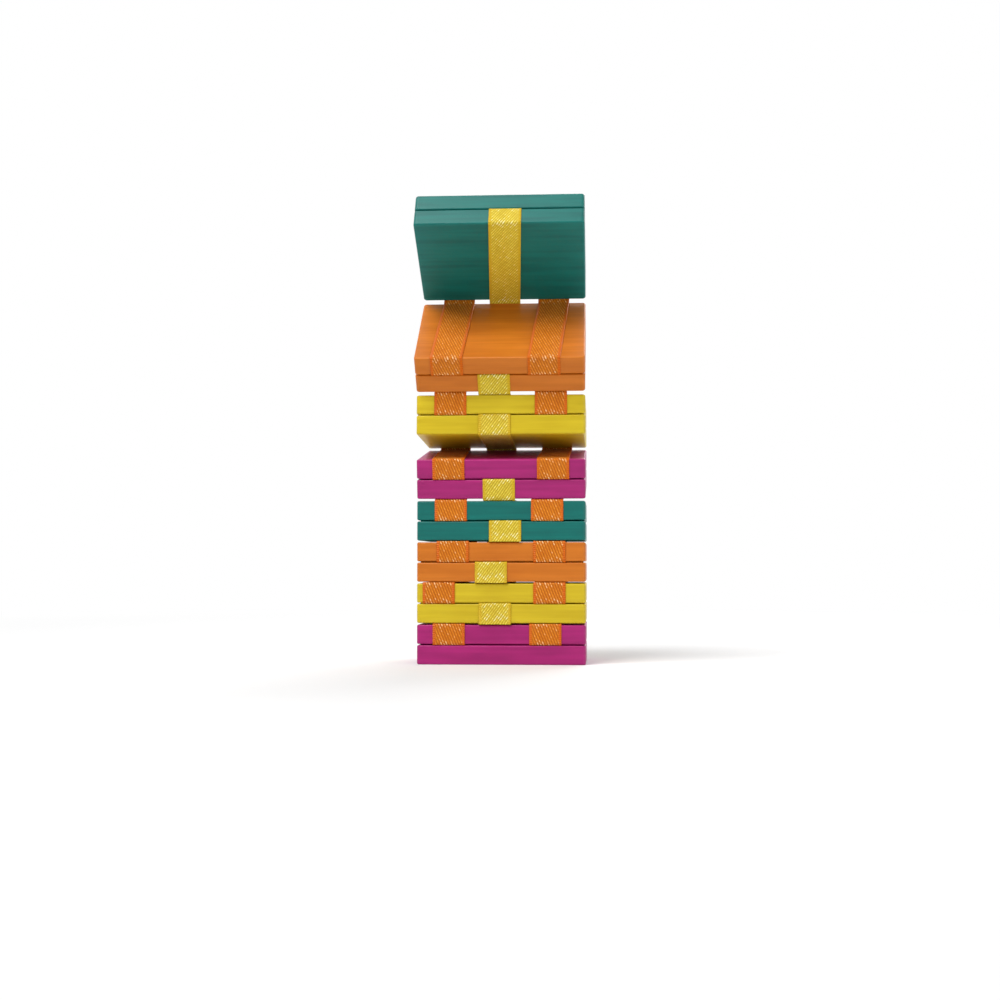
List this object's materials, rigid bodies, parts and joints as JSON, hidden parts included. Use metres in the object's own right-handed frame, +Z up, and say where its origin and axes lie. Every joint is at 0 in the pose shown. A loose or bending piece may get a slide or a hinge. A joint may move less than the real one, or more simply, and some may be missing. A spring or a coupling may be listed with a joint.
{
  "type": "jacob's ladder toy",
  "caption": "Tumbling ladder of painted wooden blocks, each a glued pair of slats, hinged end to end by crossing woven ribbons so that every block can flip over the next.",
  "frame": {"origin": "middle of the lowest block's underside, on the surface it stands on", "axes": "+Z up through the stack, +X across the ribbons to the right, +Y away from the viewer along the blocks"},
  "size_m": [0.042, 0.0378, 0.1163],
  "materials": {
    "green_paint": "satin paint",
    "orange_paint": "satin paint",
    "yellow_paint": "satin paint",
    "magenta_paint": "satin paint",
    "yellow_ribbon": "woven satin",
    "orange_ribbon": "woven satin"
  },
  "bodies": {
    "block_8": {"block_8_upper_slat": "magenta_paint", "block_8_lower_slat": "magenta_paint", "block_8_centre_ribbon": "yellow_ribbon", "block_8_left_ribbon": "orange_ribbon", "block_8_right_ribbon": "orange_ribbon"},
    "block_7": {"block_7_upper_slat": "yellow_paint", "block_7_lower_slat": "yellow_paint", "block_7_centre_ribbon": "yellow_ribbon", "block_7_left_ribbon": "orange_ribbon", "block_7_right_ribbon": "orange_ribbon"},
    "block_6": {"block_6_upper_slat": "orange_paint", "block_6_lower_slat": "orange_paint", "block_6_centre_ribbon": "yellow_ribbon", "block_6_left_ribbon": "orange_ribbon", "block_6_right_ribbon": "orange_ribbon"},
    "block_5": {"block_5_upper_slat": "green_paint", "block_5_lower_slat": "green_paint", "block_5_centre_ribbon": "yellow_ribbon", "block_5_left_ribbon": "orange_ribbon", "block_5_right_ribbon": "orange_ribbon"},
    "block_4": {"block_4_upper_slat": "magenta_paint", "block_4_lower_slat": "magenta_paint", "block_4_centre_ribbon": "yellow_ribbon", "block_4_left_ribbon": "orange_ribbon", "block_4_right_ribbon": "orange_ribbon"},
    "block_3": {"block_3_upper_slat": "yellow_paint", "block_3_lower_slat": "yellow_paint", "block_3_centre_ribbon": "yellow_ribbon", "block_3_left_ribbon": "orange_ribbon", "block_3_right_ribbon": "orange_ribbon"},
    "block_2": {"block_2_upper_slat": "orange_paint", "block_2_lower_slat": "orange_paint", "block_2_centre_ribbon": "yellow_ribbon", "block_2_left_ribbon": "orange_ribbon", "block_2_right_ribbon": "orange_ribbon"},
    "block_1": {"block_1_upper_slat": "green_paint", "block_1_lower_slat": "green_paint", "block_1_centre_ribbon": "yellow_ribbon", "block_1_left_ribbon": "orange_ribbon", "block_1_right_ribbon": "orange_ribbon"},
    "outer_run_5_6": {"run_5_6_left_ribbon": "orange_ribbon", "run_5_6_right_ribbon": "orange_ribbon"},
    "centre_run_5_6": {"run_5_6_centre_ribbon": "yellow_ribbon"},
    "outer_run_6_7": {"run_6_7_left_ribbon": "orange_ribbon", "run_6_7_right_ribbon": "orange_ribbon"},
    "centre_run_6_7": {"run_6_7_centre_ribbon": "yellow_ribbon"},
    "outer_run_7_8": {"run_7_8_left_ribbon": "orange_ribbon", "run_7_8_right_ribbon": "orange_ribbon"},
    "centre_run_7_8": {"run_7_8_centre_ribbon": "yellow_ribbon"}
  },
  "joints": [
    {"name": "near_fold_7_8", "type": "hinge", "parent": "block_8", "child": "outer_run_7_8", "pos_m": [0, -0.01435, 0.01005], "axis": [-1, 0, 0], "range_deg": [-180, 0]},
    {"name": "far_fold_7_8", "type": "hinge", "parent": "outer_run_7_8", "child": "block_7", "pos_m": [0, 0.01435, 0.01005], "axis": [-1, 0, 0], "range_deg": [0, 180]},
    {"name": "centre_fold_7_8", "type": "hinge", "parent": "block_8", "child": "centre_run_7_8", "pos_m": [0, 0.01435, 0.01005], "axis": [-1, 0, 0], "range_deg": [0, 180]},
    {"name": "near_fold_6_7", "type": "hinge", "parent": "block_7", "child": "outer_run_6_7", "pos_m": [0, -0.01435, 0.0203], "axis": [1, 0, 0], "range_deg": [0, 180]},
    {"name": "far_fold_6_7", "type": "hinge", "parent": "outer_run_6_7", "child": "block_6", "pos_m": [0, 0.01435, 0.0203], "axis": [1, 0, 0], "range_deg": [-180, 0]},
    {"name": "centre_fold_6_7", "type": "hinge", "parent": "block_7", "child": "centre_run_6_7", "pos_m": [0, 0.01435, 0.0203], "axis": [1, 0, 0], "range_deg": [-180, 0]},
    {"name": "near_fold_5_6", "type": "hinge", "parent": "block_6", "child": "outer_run_5_6", "pos_m": [0, -0.01435, 0.03055], "axis": [-1, 0, 0], "range_deg": [-172, 0]},
    {"name": "far_fold_5_6", "type": "hinge", "parent": "outer_run_5_6", "child": "block_5", "pos_m": [0, 0.01435, 0.03055], "axis": [-1, 0, 0], "range_deg": [0, 180]},
    {"name": "centre_fold_5_6", "type": "hinge", "parent": "block_6", "child": "centre_run_5_6", "pos_m": [0, 0.01435, 0.03055], "axis": [-1, 0, 0], "range_deg": [0, 180]},
    {"name": "fold_4_5", "type": "hinge", "parent": "block_5", "child": "block_4", "pos_m": [0, -0.01435, 0.0408], "axis": [1, 0, 0], "range_deg": [-9, 163]},
    {"name": "fold_3_4", "type": "hinge", "parent": "block_4", "child": "block_3", "pos_m": [0, 0.01239, 0.05541], "axis": [-1, 0, 0], "range_deg": [-12, 168]},
    {"name": "fold_2_3", "type": "hinge", "parent": "block_3", "child": "block_2", "pos_m": [0, -0.01573, 0.06715], "axis": [1, 0, 0], "range_deg": [-41, 139]},
    {"name": "fold_1_2", "type": "hinge", "parent": "block_2", "child": "block_1", "pos_m": [0, 0.00057, 0.0929], "axis": [-1, 0, 0], "range_deg": [-70, 110]}
  ],
  "couplings": [
    {"joint": "centre_fold_7_8", "follows": "far_fold_7_8", "ratio": 1},
    {"joint": "centre_fold_6_7", "follows": "far_fold_6_7", "ratio": 1},
    {"joint": "centre_fold_5_6", "follows": "far_fold_5_6", "ratio": 1}
  ]
}
